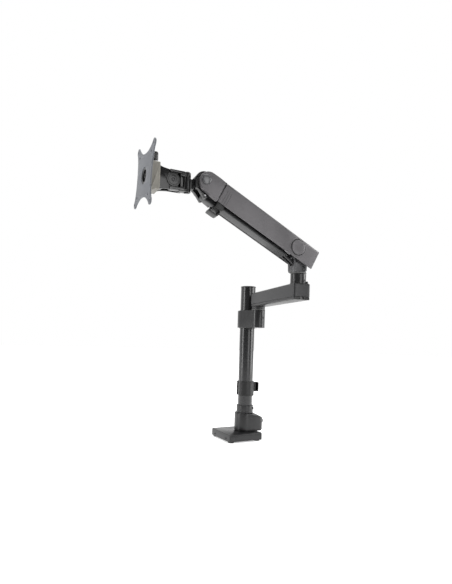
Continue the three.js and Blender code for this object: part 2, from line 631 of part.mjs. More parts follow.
function plateOutline() {
  const { waist, notch, ear, earRadius } = PLATE;
  const shape = new THREE.Shape();
  const quarters = [0, 1, 2, 3];
  quarters.forEach((quarter) => {
    const turn = quarter * Math.PI / 2;
    const cornerTurn = turn + Math.PI / 4;
    const centre = new THREE.Vector2(ear, ear).rotateAround(new THREE.Vector2(), turn);
    shape.absarc(centre.x, centre.y, earRadius, cornerTurn - 1.75, cornerTurn + 1.75);
    const depth = quarter % 2 === 0 ? notch : waist;
    const inner = new THREE.Vector2(0, depth).rotateAround(new THREE.Vector2(), turn);
    const before = new THREE.Vector2(depth * 0.62, depth * 0.99).rotateAround(new THREE.Vector2(), turn);
    const after = new THREE.Vector2(-depth * 0.62, depth * 0.99).rotateAround(new THREE.Vector2(), turn);
    const next = new THREE.Vector2(-ear, ear).rotateAround(new THREE.Vector2(), turn);
    const arrive = turn + 0.75 * Math.PI - 1.75;
    shape.quadraticCurveTo(before.x, before.y, inner.x, inner.y);
    const endX = next.x + earRadius * Math.cos(arrive);
    const endY = next.y + earRadius * Math.sin(arrive);
    shape.quadraticCurveTo(after.x, after.y, endX, endY);
  });
  return shape;
}

// the outline lies in Y (to the display's left) and Z (up)
function vesaPlate() {
  const { face, thickness, hole } = PLATE;
  const body = endwise(plateOutline(), face - thickness, face, 5);
  const drills = VESA_PATTERNS.flatMap((pitch) => [[1, 1], [1, -1], [-1, 1], [-1, -1]]
    .map(([y, z]) => along(VESA_HOLE, face - 10, face + 10, y * pitch / 2, z * pitch / 2, 10)));
  return cut(body, along(hole, face - 10, face + 10, 0, 0, 36), ...drills);
}

function turnHub() {
  const back = BLOCK.front + GAP;
  const disc = along(24, back, PLATE.face - PLATE.thickness - GAP, 0, 0, 36);
  const spigot = along(9, BLOCK.rear + 7, back + 1, 0, 0, 28);
  const rim = along(PLATE.hole - GAP, back, PLATE.face - 1, 0, 0, 32);
  return cut(join(disc, spigot, rim), along(11.5, back + 2, PLATE.face, 0, 0, 28));
}

function plateGroup() {
  const group = new THREE.Group();
  group.rotation.x = -rad(PLATE.turn);
  group.add(piece('turn_hub', turnHub(), satinBlack()));
  group.add(piece('vesa_plate', vesaPlate(), powderBlack()));
  return group;
}

function headGroup() {
  const group = new THREE.Group();
  const half = HEAD.width / 2;
  const tall = HEAD.height / 2;
  group.add(piece('pan_yoke', panYoke(), satinBlack()));
  const pin = join(
    upright(3, -tall - 1, tall + 1, HEAD.panAxis, 0, 20),
    upright(5.4, tall + GAP, tall + 2.2, HEAD.panAxis, 0, 24));
  group.add(piece('pan_hinge_pin', pin, plasticBlack()));
  group.add(piece('tilt_fork', tiltFork(), satinBlack()));
  [1, -1].forEach((sign) => {
    const word = sign > 0 ? 'left' : 'right';
    const disc = dome(13.5, 1.9, sign * (half + GAP), HEAD.tiltAxis, 0, sign);
    group.add(piece(`tilt_disc_${word}`, disc, plasticBlack()));
  });
  group.add(piece('tilt_bolt', across(4, -half, half, HEAD.tiltAxis, 0, 20), steel()));
  group.add(piece('display_block', displayBlock(), greyBlock()));
  group.add(piece('release_knob', releaseKnob(), satinBlack()));
  group.add(plateGroup());
  return group;
}

// ---- assembly ----
const monitorArm = new THREE.Group();
monitorArm.add(baseGroup(), poleClipGroup());

const collar = collarGroup();
const link = linkGroup();
link.position.set(COLLAR.reach, 0, 0);
link.rotation.z = rad(LINK.azimuth - COLLAR.azimuth);
collar.add(link);
monitorArm.add(collar);

const bracket = bracketGroup();
bracket.position.set(LINK.length, 0, 0);
bracket.rotation.z = rad(BRACKET.azimuth - LINK.azimuth);
link.add(bracket);

const arm = armGroup();
arm.position.set(REAR_PIVOT.x, 0, REAR_PIVOT.z);
const rail = railGroup();
rail.position.copy(arm.position);
bracket.add(arm, rail);

const knuckle = knuckleGroup();
const lift = rad(ARM.lift);
knuckle.position.set(REAR_PIVOT.x + ARM.length * Math.cos(lift), 0, REAR_PIVOT.z + ARM.length * Math.sin(lift));
bracket.add(knuckle);

const headPivot = new THREE.Group();
headPivot.position.set(HEAD.panAxis, 0, -HEAD.drop);
headPivot.rotation.z = rad(HEAD.turn);
const head = headGroup();
head.position.set(-HEAD.panAxis, 0, 0);
headPivot.add(head);
knuckle.add(headPivot);

export default monitorArm;
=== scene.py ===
# %% [markdown]
# # A monitor arm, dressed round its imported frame
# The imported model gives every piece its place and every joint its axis. Here each piece that shows gets a finer
# surface and a real finish. The surfaces are worked out with numpy, because a whole grid of points can be
# computed from one formula, and its measures stay readable in millimetres.

# %% Load the frame
import json
import math

import bpy
import numpy as np
from mathutils import Matrix, Vector
from mathutils.geometry import tessellate_polygon


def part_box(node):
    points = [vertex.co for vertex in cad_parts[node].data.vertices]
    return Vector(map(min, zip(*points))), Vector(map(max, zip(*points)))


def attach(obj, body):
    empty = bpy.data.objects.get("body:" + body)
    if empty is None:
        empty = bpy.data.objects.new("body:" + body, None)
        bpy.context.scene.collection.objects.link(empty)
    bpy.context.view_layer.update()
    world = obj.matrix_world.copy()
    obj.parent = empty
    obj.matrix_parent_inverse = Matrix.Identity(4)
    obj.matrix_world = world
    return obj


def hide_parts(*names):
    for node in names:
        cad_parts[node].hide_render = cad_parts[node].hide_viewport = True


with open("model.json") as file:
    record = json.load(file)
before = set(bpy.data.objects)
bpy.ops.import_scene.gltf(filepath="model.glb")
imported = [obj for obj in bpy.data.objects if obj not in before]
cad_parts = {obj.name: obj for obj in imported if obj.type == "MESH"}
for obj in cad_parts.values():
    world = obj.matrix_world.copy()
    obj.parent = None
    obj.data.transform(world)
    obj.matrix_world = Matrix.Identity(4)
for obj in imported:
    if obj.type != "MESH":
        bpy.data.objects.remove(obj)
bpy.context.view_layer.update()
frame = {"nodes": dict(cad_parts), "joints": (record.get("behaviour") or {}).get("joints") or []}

# %% [markdown]
# ## Where things are
# Every group of pieces has its own axes, with X along the piece, as a fitter would measure it on the bench. The
# frame's joints give most of them. The clip's angle and the plate's small turn are given here.

# %% Axes of each group, from the joints
joints = {j["name"]: j for j in frame["joints"]}


def joint_point(name):
    return np.array(joints[name]["pos_m"]) * 1000


def joint_axis(name):
    return np.array(joints[name]["axis"])


def axes(origin, x_way, y_way):
    """Columns of the turn are X, Y and Z = X x Y; the origin is in millimetres."""
    x = np.array(x_way) / np.linalg.norm(x_way)
    y = np.array(y_way) / np.linalg.norm(y_way)
    return np.column_stack([x, y, np.cross(x, y)]), np.array(origin, float)


def level_axes(origin, azimuth):
    """X points at the azimuth in the level plane, and Z points up."""
    return axes(origin, [math.cos(azimuth), math.sin(azimuth), 0], [-math.sin(azimuth), math.cos(azimuth), 0])


def way_round(start, end):
    return math.atan2(end[1] - start[1], end[0] - start[0])


def node_middle(name):
    """The middle of a frame node's box, in millimetres."""
    low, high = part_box(name)
    return (np.array(low) + np.array(high)) * 500


# millimetres and degrees that more than one piece shares
POLE_RADIUS, ARM_LENGTH = 20, 240
PAN_X, TILT_X, KNOB_X = 31, 64, 98.5
PLATE_BACK, PLATE_FACE = 117.4, 120
CLIP_ANGLE, PLATE_ANGLE = -8, -10

on_plan = np.array([1, 1, 0])
link_pivot = joint_point("link_swivel") * on_plan
arm_pivot = joint_point("arm_swivel") * on_plan
arm_side = -joint_axis("arm_lift")
head_way = joint_axis("plate_turn")
BASE = level_axes([0, 0, 0], 0)
CLIP = level_axes([0, 0, 0], math.radians(CLIP_ANGLE))
COLLAR = level_axes([0, 0, 0], way_round([0, 0], link_pivot))
LINK = level_axes(link_pivot, way_round(link_pivot, arm_pivot))
BRACKET = axes(arm_pivot, np.cross(arm_side, [0, 0, 1]), arm_side)
ARM = axes(joint_point("arm_lift"), joint_axis("spring_stroke"), arm_side)
KNUCKLE = (BRACKET[0], joint_point("head_level"))
HEAD = axes(joint_point("plate_turn") - PLATE_FACE * head_way, head_way, -joint_axis("head_tilt"))
plate_turn = math.radians(PLATE_ANGLE)
turned = np.array([[1, 0, 0], [0, math.cos(plate_turn), -math.sin(plate_turn)],
                   [0, math.sin(plate_turn), math.cos(plate_turn)]])
PLATE = (HEAD[0] @ turned, HEAD[1])
link_length = float(np.linalg.norm(arm_pivot - link_pivot))
print("link", round(link_length, 1), "mm between its pivots")

# %% [markdown]
# ## Tools for surfaces
# Almost every piece of such an arm is either turned on a lathe, or an outline with a wall of some height. So two
# formulas do most of the work: a profile carried round an axis, and an outline repeated at each height, moved
# inwards where an edge is rounded. A rounded edge matters more than any texture: it is what catches the light.

# %% Corners, edges and outlines
def rounded(points, radius, steps=5):
    """A corner c becomes (1-t)^2 a + 2t(1-t) c + t^2 b, where a and b lie a radius back along its two sides."""
    c = np.asarray(points, float)
    radius = np.broadcast_to(np.asarray(radius, float), len(c))[:, None]
    before, after = np.roll(c, 1, 0) - c, np.roll(c, -1, 0) - c
    length_before = np.linalg.norm(before, axis=1, keepdims=True)
    length_after = np.linalg.norm(after, axis=1, keepdims=True)
    a = c + before / length_before * np.minimum(radius, length_before * 0.49)
    b = c + after / length_after * np.minimum(radius, length_after * 0.49)
    t = np.linspace(0, 1, steps)[None, :, None]
    curve = (1 - t) ** 2 * a[:, None] + 2 * t * (1 - t) * c[:, None] + t ** 2 * b[:, None]
    return curve.reshape(-1, 2)


def soften(points, radius, steps=5):
    """Rounds an outline's corners. A radius over 0.15 mm becomes at least 1.2 mm, so that the cap does not fold over
    where its edge is moved in. A smaller one stays nearly sharp."""
    radius = np.asarray(radius, float)
    return rounded(points, np.where(radius > 0.15, np.maximum(radius, 1.2), radius), steps)


def inwards(outline):
    """At each point, the way in that moves both its sides by one: the sum of their normals over 1 + their cosine."""
    side = np.roll(outline, -1, 0) - outline
    side = side / np.maximum(np.linalg.norm(side, axis=1, keepdims=True), 1e-9)
    normal = np.column_stack([-side[:, 1], side[:, 0]])
    last = np.roll(normal, 1, 0)
    return (normal + last) / np.maximum(1 + (normal * last).sum(1, keepdims=True), 0.35)


def rim(low, high, edge_low=0.8, edge_high=0.8, steps=4):
    """Pairs (inset, height): a quarter round at the bottom, a straight wall, a quarter round at the top."""
    t = np.linspace(0, math.pi / 2, steps)
    bottom = np.column_stack([edge_low * (1 - np.sin(t)), low + edge_low * (1 - np.cos(t))])
    top = np.column_stack([edge_high * (1 - np.cos(t)), high - edge_high * (1 - np.sin(t))])
    return np.vstack([bottom, top])


def rectangle(x0, x1, y0, y1):
    return np.array([[x0, y0], [x1, y0], [x1, y1], [x0, y1]], float)


def circle(radius, x=0, y=0, count=64):
    t = np.linspace(0, 2 * math.pi, count, endpoint=False)
    return np.column_stack([x + radius * np.cos(t), y + radius * np.sin(t)])


def arc(radius, start, end, x=0, y=0, count=24):
    t = np.radians(np.linspace(start, end, count))
    return np.column_stack([x + radius * np.cos(t), y + radius * np.sin(t)])


# %% Walls between rows of points
def stitch(rows, columns, closed):
    """Four-sided faces between neighbouring rows of a grid whose columns meet round the back."""
    i = np.arange(rows if closed else rows - 1)[:, None]
    j = np.arange(columns)[None, :]
    up, on = (i + 1) % rows, (j + 1) % columns
    return np.stack([i * columns + j, i * columns + on, up * columns + on, up * columns + j], -1).reshape(-1, 4)


def skin(grid, closed=False):
    """A grid of rows becomes a closed surface: the rows meet end to end, or the first and last are capped."""
    rows, columns = grid.shape[:2]
    faces = stitch(rows, columns, closed).tolist()
    if not closed:
        faces += [list(range(columns))[::-1], list(range((rows - 1) * columns, rows * columns))]
    return grid.reshape(-1, 3), faces


def loft(outline, profile):
    """The outline stands at each height of the profile, moved in by that height's inset."""
    profile = np.asarray(profile, float)
    flat = outline[None] + inwards(outline)[None] * profile[:, 0][:, None, None]
    heights = np.broadcast_to(profile[:, 1][:, None, None], flat.shape[:2] + (1,))
    return skin(np.concatenate([flat, heights], 2))


def slab(outline, low, high, edge=0.8):
    return loft(outline, rim(low, high, edge, edge))


def turn(profile, sides=96, flutes=0, depth=0.0, closed=False):
    """(r, z) goes to (r' cos t, r' sin t, z), where r' = r (1 + depth cos(flutes t)) where it is fluted."""
    r, z = np.asarray(profile, float).T
    t = np.linspace(0, 2 * math.pi, sides, endpoint=False)
    wave = 1 + depth * np.cos(flutes * t)
    return skin(np.stack([np.outer(r, wave * np.cos(t)), np.outer(r, wave * np.sin(t)),
                          np.outer(z, np.ones(sides))], -1), closed)


def rounded_turn(corners, radius=0.5, sides=96, flutes=0, depth=0.0, steps=4):
    """A closed ring-shaped profile with every corner softened, carried round the axis."""
    return turn(rounded(corners, radius, steps), sides, flutes, depth, closed=True)


def drum(radius, low, high, edge=0.5, sides=96, flutes=0, depth=0.0):
    """A solid drum with rounded rims, capped at both ends."""
    profile = rim(low, high, edge, edge)
    core = 0.6 * radius
    wall = np.column_stack([radius - profile[:, 0], profile[:, 1]])
    return turn(np.vstack([[[core, low]], wall, [[core, high]]]), sides, flutes, depth)


def pierced(outline, holes, low, high, edge=0.4):
    """A plate with holes: one rounded wall for the outline, one for each hole, and faces between them."""
    profile = rim(low, high, edge, edge, 3)
    loops = [np.asarray(outline)] + [np.asarray(h)[::-1] for h in holes]
    points, faces, first, last, start = [], [], [], [], 0
    for loop in loops:
        flat = loop[None] + inwards(loop)[None] * profile[:, 0][:, None, None]
        heights = np.broadcast_to(profile[:, 1][:, None, None], flat.shape[:2] + (1,))
        grid = np.concatenate([flat, heights], 2)
        rows, columns = grid.shape[:2]
        faces += (stitch(rows, columns, False) + start).tolist()
        first.append((start, grid[0]))
        last.append((start + (rows - 1) * columns, grid[-1]))
        points.append(grid.reshape(-1, 3))
        start += rows * columns
    for ends, up in ((first, -1), (last, 1)):
        number = np.concatenate([s + np.arange(len(g)) for s, g in ends])
        flat = np.concatenate([g for s, g in ends])
        triangles = np.array(tessellate_polygon([[Vector(p) for p in g] for s, g in ends]))
        a, b, c = (flat[triangles[:, k]][:, :2] for k in range(3))
        turned_over = ((b - a)[:, 0] * (c - a)[:, 1] - (b - a)[:, 1] * (c - a)[:, 0]) * up < 0
        triangles[turned_over] = triangles[turned_over][:, ::-1]
        faces += number[triangles].tolist()
    return np.vstack(points), faces


def bored(outline, radius, profile, height, inner_low, inner_high, steps=8):
    """A wall round an outline, whose top and bottom run in to a round bore about the origin. Between them a point
    is (1-s) of the outline's and s of the bore's at the same angle, and height(x, h) bends the top. The bore has one
    point for each point of the outline, so past a long straight side it runs straight too, and is not round there."""
    outline = np.asarray(outline)
    angle = np.arctan2(outline[:, 1], outline[:, 0])
    bore = np.column_stack([radius * np.cos(angle), radius * np.sin(angle)])
    profile = np.asarray(profile, float)
    wall = outline[None] + inwards(outline)[None] * profile[:, 0][:, None, None]
    levels = np.broadcast_to(profile[:, 1][:, None], wall.shape[:2])
    s = np.linspace(0, 1, steps)[1:, None, None]
    over = (1 - s) * wall[-1][None] + s * bore[None]
    under = ((1 - s) * wall[0][None] + s * bore[None])[::-1]
    flat = np.concatenate([under, wall, over])
    levels = np.concatenate([np.full(under.shape[:2], inner_low), levels, np.full(over.shape[:2], inner_high)])
    return skin(np.concatenate([flat, height(flat, levels)[..., None]], 2), closed=True)


# %% Turning a surface onto another axis, and moving it
def moved(surface, x=0, y=0, z=0):
    return surface[0] + np.array([x, y, z], float), surface[1]


def carried_across(surface):
    """(x, y, z) goes to (x, -z, y): an outline in X and Y now stands in X and Z, and its wall runs along -Y."""
    p = surface[0]
    return np.column_stack([p[:, 0], -p[:, 2], p[:, 1]]), surface[1]


def carried_along(surface):
    """(x, y, z) goes to (z, x, y): an outline in X and Y now stands in Y and Z, and its wall runs along X."""
    p = surface[0]
    return np.column_stack([p[:, 2], p[:, 0], p[:, 1]]), surface[1]


def across(outline, y0, y1, edge=0.8):
    return carried_across(slab(outline, -y1, -y0, edge))


def wall_at(outline, middle, half_wall, edge=0.8):
    """A wall across Y that reaches half its thickness to each side of its middle."""
    return across(outline, middle - half_wall, middle + half_wall, edge)


def along(outline, x0, x1, edge=0.8):
    return carried_along(slab(outline, x0, x1, edge))


def facing(surface, azimuth):
    """Turns a surface about Z by an azimuth in degrees."""
    c, s = math.cos(math.radians(azimuth)), math.sin(math.radians(azimuth))
    p = surface[0]
    return np.column_stack([c * p[:, 0] - s * p[:, 1], s * p[:, 0] + c * p[:, 1], p[:, 2]]), surface[1]


def flipped(surface):
    """Half a turn about X, so that what faced +Y faces -Y."""
    return surface[0] * np.array([1, -1, -1]), surface[1]


def outward(surface, side):
    """What faces -Y stays as it is on side -1, and faces +Y on side 1."""
    return surface if side < 0 else flipped(surface)


# %% [markdown]
# ## Finishes
# Cast and tubular parts of such an arm are powder coated: the powder melts into a skin with a faint orange peel
# and a fine grain. So one recipe makes every hard finish: a grain for the bump, a slow mottle for gloss and
# colour, and a painted highlight on the edges, found by a mask that compares the true normal with a rounded one.

# %% A recipe for hard finishes
def finish_of(name, colour, roughness, metallic=0.0, coat=0.0, grain=0.5, relief=0.02, peel=0.0, mottle=0.12,
              edge_highlight=0.3, stretch=(1, 1, 1), specular=0.5):
    """Colour is linear; grain is its size in millimetres and relief its height; the painted edge highlight sets how
    much edges lighten.
    """
    material = bpy.data.materials.new(name)
    material.use_nodes = True
    tree = material.node_tree
    nodes, link = tree.nodes, tree.links.new
    shader = nodes["Principled BSDF"]
    shader.inputs["Metallic"].default_value = metallic
    shader.inputs["Specular IOR Level"].default_value = specular
    shader.inputs["Coat Weight"].default_value = coat
    shader.inputs["Coat Roughness"].default_value = 0.12
    place = nodes.new("ShaderNodeTexCoord")
    mapping = nodes.new("ShaderNodeMapping")
    mapping.inputs["Scale"].default_value = stretch
    link(place.outputs["Object"], mapping.inputs["Vector"])

    def noise(scale, detail):
        texture = nodes.new("ShaderNodeTexNoise")
        texture.inputs["Scale"].default_value = scale
        texture.inputs["Detail"].default_value = detail
        link(mapping.outputs["Vector"], texture.inputs["Vector"])
        return texture.outputs["Fac"]

    def spread(value, low, high, from_low=0.3, from_high=0.7):
        node = nodes.new("ShaderNodeMapRange")
        node.inputs["From Min"].default_value = from_low
        node.inputs["From Max"].default_value = from_high
        node.inputs["To Min"].default_value = low
        node.inputs["To Max"].default_value = high
        link(value, node.inputs["Value"])
        return node.outputs["Result"]

    fine, slow = noise(1000 / grain, 3), noise(22, 4)
    round_edge = nodes.new("ShaderNodeBevel")
    round_edge.samples = 4
    round_edge.inputs["Radius"].default_value = 0.0011
    surface = nodes.new("ShaderNodeNewGeometry")
    meet = nodes.new("ShaderNodeVectorMath")
    meet.operation = "DOT_PRODUCT"
    link(round_edge.outputs["Normal"], meet.inputs[0])
    link(surface.outputs["Normal"], meet.inputs[1])
    # Painted highlight: where the true normal turns away from the rounded one, at the edges, the colour is lightened
    edge = spread(meet.outputs["Value"], edge_highlight, 0.0, 0.86, 0.995)
    base = nodes.new("ShaderNodeMix")
    base.data_type = "RGBA"
    base.inputs[6].default_value = [c * (1 - mottle) for c in colour] + [1]
    base.inputs[7].default_value = [min(1, c * (1 + mottle)) for c in colour] + [1]
    link(spread(slow, 0, 1), base.inputs[0])
    # The painted edge highlight is mixed into the base colour here, towards 2.2 times the colour
    highlight_mix = nodes.new("ShaderNodeMix")
    highlight_mix.data_type = "RGBA"
    highlight_mix.inputs[7].default_value = [min(1, c * 2.2 + 0.03) for c in colour] + [1]
    link(edge, highlight_mix.inputs[0])
    link(base.outputs[2], highlight_mix.inputs[6])
    link(highlight_mix.outputs[2], shader.inputs["Base Color"])
    link(spread(slow, roughness * 0.88, roughness * 1.12), shader.inputs["Roughness"])
    bump = nodes.new("ShaderNodeBump")
    bump.inputs["Strength"].default_value = 0.5
    bump.inputs["Distance"].default_value = relief / 1000
    link(fine, bump.inputs["Height"])
    normal = bump.outputs["Normal"]
    if peel:
        waves = nodes.new("ShaderNodeBump")
        waves.inputs["Strength"].default_value = 0.5
        waves.inputs["Distance"].default_value = peel / 1000
        link(noise(260, 1), waves.inputs["Height"])
        link(normal, waves.inputs["Normal"])
        normal = waves.outputs["Normal"]
    link(normal, shader.inputs["Normal"])
    return material


satin_black = finish_of("satin_black_coat", (0.009, 0.009, 0.0095), 0.3, coat=0.12, grain=0.45, relief=0.008,
                        peel=0.012, specular=0.38)
pole_black = finish_of("pole_black_coat", (0.005, 0.005, 0.0055), 0.26, coat=0.15, grain=0.4, relief=0.003,
                       peel=0.005)
arm_grey = finish_of("arm_powder_coat", (0.1, 0.096, 0.1), 0.44, metallic=0.5, grain=0.3, relief=0.014, peel=0.01)
dome_grey = finish_of("dome_coat", (0.08, 0.08, 0.083), 0.3, metallic=0.4, coat=0.2, grain=0.4, relief=0.01)
link_grey = finish_of("link_powder_coat", (0.018, 0.018, 0.019), 0.4, metallic=0.15, grain=0.35, relief=0.012,
                      peel=0.012)
plate_grey = finish_of("plate_powder_coat", (0.1, 0.105, 0.116), 0.5, metallic=0.2, grain=0.5, relief=0.03, peel=0.02)
block_grey = finish_of("cast_block_grey", (0.16, 0.152, 0.132), 0.5, metallic=0.25, grain=0.6, relief=0.04,
                       mottle=0.16)
moulded_black = finish_of("moulded_black", (0.009, 0.009, 0.009), 0.4, grain=0.6, relief=0.02, edge_highlight=0.15,
                          specular=0.35)
head_black = finish_of("head_gloss_coat", (0.004, 0.004, 0.004), 0.16, grain=0.45, relief=0.003, peel=0.006,
                       specular=0.4)
bracket_grey = finish_of("bracket_coat", (0.06, 0.06, 0.062), 0.34, metallic=0.5, grain=0.4, relief=0.008, peel=0.01)
gloss_black = finish_of("gloss_black", (0.006, 0.006, 0.006), 0.22, coat=0.2, grain=0.5, relief=0.004, edge_highlight=0.12)
rubber = finish_of("foot_rubber", (0.01, 0.01, 0.01), 0.85, grain=0.8, relief=0.06, edge_highlight=0.1, specular=0.25)
zinc = finish_of("zinc_steel", (0.42, 0.42, 0.43), 0.28, metallic=1.0, grain=0.4, relief=0.01, mottle=0.1)
black_steel = finish_of("black_oxide_steel", (0.03, 0.03, 0.031), 0.34, metallic=0.8, grain=0.4, relief=0.01)
nylon = finish_of("washer_nylon", (0.09, 0.09, 0.088), 0.4, grain=0.7, relief=0.012, edge_highlight=0.1)
print(len(bpy.data.materials), "finishes")

# %% Making a piece from surfaces
def piece(name, body, where, surfaces, material, stands_for=(), sharp=35):
    """Joins surfaces in a group's millimetres into one mesh in the frame's metres."""
    points, faces, start = [], [], 0
    for surface, corners in surfaces:
        points.append(surface)
        faces += [[c + start for c in face] for face in corners]
        start += len(surface)
    turn_by, origin = where
    world = (np.vstack(points) @ turn_by.T + origin) / 1000
    mesh = bpy.data.meshes.new(name)
    mesh.from_pydata(world.tolist(), [], faces)
    mesh.polygons.foreach_set("use_smooth", [len(face) == 4 for face in faces])
    mesh.set_sharp_from_angle(angle=math.radians(sharp))
    mesh.materials.append(material)
    thing = bpy.data.objects.new(name, mesh)
    bpy.context.scene.collection.objects.link(thing)
    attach(thing, body)
    if stands_for:
        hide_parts(*stands_for)
    print(name, len(mesh.polygons), "faces")
    return thing


def socket_screw(radius, length, key=0.45):
    """A screw head about +Z with a six-sided socket: an outer drum, and a floor sunk inside a hexagonal rim."""
    count = 48
    outer = circle(radius, count=count)
    t = np.linspace(0, 2 * math.pi, count, endpoint=False)
    six = radius * key / np.cos((t + math.pi / 6) % (math.pi / 3) - math.pi / 6)
    socket = np.column_stack([six * np.cos(t), six * np.sin(t)])
    rings = [(outer, 0), (outer, length * 0.75), (outer * 0.9, length), (socket, length),
             (socket * 0.96, length * 0.35)]
    return skin(np.stack([np.column_stack([ring, np.full(count, height)]) for ring, height in rings]))


# %% [markdown]
# ## Base
# The base is a square box with a stepped lid line round its top, four rubber feet and two small screws in its
# left side. A housing shaped like a D stands on it and grips the pole, and a knurled screw tightens it.

# %% Base box and feet
box_low, box_high = np.array(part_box("base_cover")[0]) * 1000, np.array(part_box("base_cover")[1]) * 1000
widened = 1.2
box_outline = soften(rectangle(box_low[0], box_high[0] + widened, box_low[1] - widened, box_high[1]), 3.6, 9)
lid_line = box_high[2] - 3.2
box_profile = np.vstack([
    rim(box_low[2], lid_line, 1.0, 0.25, 4), [[0.55, lid_line + 0.15], [0.55, lid_line + 0.55]],
    rim(lid_line + 0.65, box_high[2], 0.25, 1.3, 5),
    [[1.7, box_high[2]], [2.0, box_high[2] - 0.25], [2.4, box_high[2]]]])
piece("base_box", "base", BASE, [loft(box_outline, box_profile)], satin_black,
      ("base_cover", "base_core_plate"))
foot_names = [f"base_foot_{i}" for i in (1, 2, 3, 4)]
feet = [moved(drum(8, 0, 3.1, 0.7, 48), *node_middle(foot)[:2]) for foot in foot_names]
piece("base_feet", "base", BASE, feet, rubber, foot_names)
side_screws = []
for i in (1, 2):
    middle = node_middle(f"base_side_screw_{i}")
    head = carried_along(socket_screw(2.6, 1.1))
    side_screws.append(moved((head[0] * [-1, -1, 1], head[1]), box_low[0] + 0.1, middle[1], middle[2]))
piece("base_side_screws", "base", BASE, side_screws, black_steel, ("base_side_screw_1", "base_side_screw_2"))

# %% Housing, clamp screw and lock ring
housing_right, housing_radius, housing_top = 46.0, 28.0, 71.0
housing_outline = np.vstack([
    arc(housing_radius, 90, 270, count=48)[:-1],
    soften(np.array([[0, -28], [housing_right, -28], [housing_right, 28], [0, 28]]), [0.1, 14, 14, 0.1], 12)[12:36]])


def housing_height(flat, levels):
    """The top is level near the pole, and falls 14 mm in a straight slope from x = 18 to the right end."""
    fall = 14 * np.clip((flat[..., 0] - 18) / (housing_right - 18), 0, 1)
    share = np.clip((levels - 30) / (housing_top - 30), 0, 1)
    return levels - fall * share


housing_profile = np.vstack([
    [[2.2, 22.2], [0.6, 23.4], [0.6, 25.2], [1.5, 25.5], [1.5, 26.2], [0, 26.6]], rim(27, housing_top, 0, 2.4, 6)])
housing = bored(housing_outline, 20.3, housing_profile, housing_height, 22.2, housing_top, 12)
piece("base_housing_shell", "base", BASE, [housing], satin_black, ("base_housing", "pole_foot"), 28)
knob = carried_along(drum(6.2, 0, 6.2, 0.9, 96, 20, 0.035))
key = carried_along(socket_screw(4.0, 1.8, 0.55))
screw_seat = carried_along(rounded_turn([[4.5, -1.2], [8.0, -1.2], [7.4, 0.4], [4.5, 0.4]], 0.3, 64))
piece("clamp_knob", "base", BASE,
      [moved(part, x, -9, 47) for part, x in ((screw_seat, 46), (knob, 46.3), (key, 52.1))], moulded_black,
      ("clamp_screw",))
ring = rounded_turn([[20.2, 71.2], [22.6, 71.2], [23.2, 71.8], [23.2, 74.6], [22.7, 75], [23, 75.5], [23, 90.6],
                     [21.8, 92], [20.2, 92]], 0.35)
piece("lock_ring_collar", "base", BASE, [ring], satin_black, ("lock_ring",))
ring_screw = facing(moved(carried_along(socket_screw(2.9, 2.4)), 22.9, 0, 84), -50)
piece("lock_ring_screw_head", "base", BASE, [ring_screw], black_steel, ("lock_ring_screw",))

# %% [markdown]
# ## Pole and its cable clip
# The pole is a seamless tube, coated and slightly glossy, so it is one turned surface. Its cap is pressed in, and
# leaves a shadow line. The clip is a split plastic ring with a hook, so that it can be sprung on anywhere.

# %% Pole, cap and clip
pole_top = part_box("pole_tube")[1][2] * 1000
pole_wall = rim(25, pole_top, 0.4, 0.6)
pole = turn(np.column_stack([POLE_RADIUS - pole_wall[:, 0], pole_wall[:, 1]]), 160)
piece("pole", "base", BASE, [pole], pole_black, ("pole_tube",))
cap = turn([[3, pole_top - 2], [20, pole_top - 2], [20, pole_top + 0.1],
            [20.5, pole_top + 0.3], [20.8, pole_top + 0.8],
            [20.8, pole_top + 1.8], [20.2, pole_top + 2.4], [19.2, pole_top + 2.6], [12, pole_top + 2.9],
            [3, pole_top + 3.0]], 128)
piece("pole_end_cap", "base", BASE, [cap], moulded_black, ("pole_cap",))
clip_ring = np.vstack([arc(23.6, -159, 159, count=90), arc(20.4, 158, -158, count=90)])
hook = soften([[22.4, -9], [26.6, -9], [26.6, 5.6], [34.4, 5.6], [34.4, -7.2], [37.6, -7.2], [37.6, 9], [22.4, 9]],
              [0.3, 0.8, 1.0, 1.0, 1.2, 1.2, 3.0, 0.3], 6)
groove = [[0, 121], [0.35, 121.3], [0.35, 121.7], [0, 122]]
ring_profile = np.vstack([rim(118, 120.6, 0.8, 0, 4), groove, [[0, 153], [0.35, 153.3], [0.35, 153.7], [0, 154]],
                          rim(154.4, 157, 0, 0.8, 4)])
piece("pole_clip", "pole_clip", CLIP, [loft(clip_ring, ring_profile), slab(hook, 129, 154, 0.9)], moulded_black,
      ("pole_cable_clip",))

# %% [markdown]
# ## Collar
# The collar slides on the pole and carries the lower link. It is one casting whose plan is two rounds joined by
# flat flanks, bored for the pole. A liner keeps metal off the coating, and shows as a thin ring above and below.

# %% Collar block, liner and screws
collar_low, collar_high = (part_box("collar_block")[i][2] * 1000 for i in (0, 1))
reach = float(np.linalg.norm(link_pivot))
lean = math.degrees(math.acos((27 - 17.8) / reach))
pear = np.vstack([arc(27, lean, 360 - lean, count=72), arc(17.8, -lean, lean, reach, count=56)])
collar_profile = rim(collar_low, collar_high, 1.0, 1.2, 5)
block = bored(pear, 22.6, collar_profile, lambda flat, levels: levels, collar_low, collar_high, 10)
piece("collar_casting", "collar", COLLAR, [block], satin_black, ("collar_block", "link_pivot_pin"), 30)
liner = rounded_turn([[20.2, collar_low - 1.2], [22.2, collar_low - 1.2], [22.2, collar_high + 1.2],
                      [20.2, collar_high + 1.2]], 0.4, 128)
piece("collar_liner_ring", "carriage", BASE, [liner], moulded_black, ("collar_liner",))
middle = (collar_low + collar_high) / 2
height_screw = facing(moved(carried_along(drum(5.2, 0, 3.4, 0.6, 96, 22, 0.03)), 26.8, 0, middle), 90)
height_key = facing(moved(carried_along(socket_screw(3.4, 1.6, 0.5)), 30.1, 0, middle), 90)
piece("collar_height_knob", "collar", COLLAR, [height_screw, height_key], black_steel, ("collar_height_screw",))
set_screw = moved(facing(moved(carried_along(socket_screw(2.9, 1.1, 0.5)), 17.3, 0, middle + 3), 14), reach)
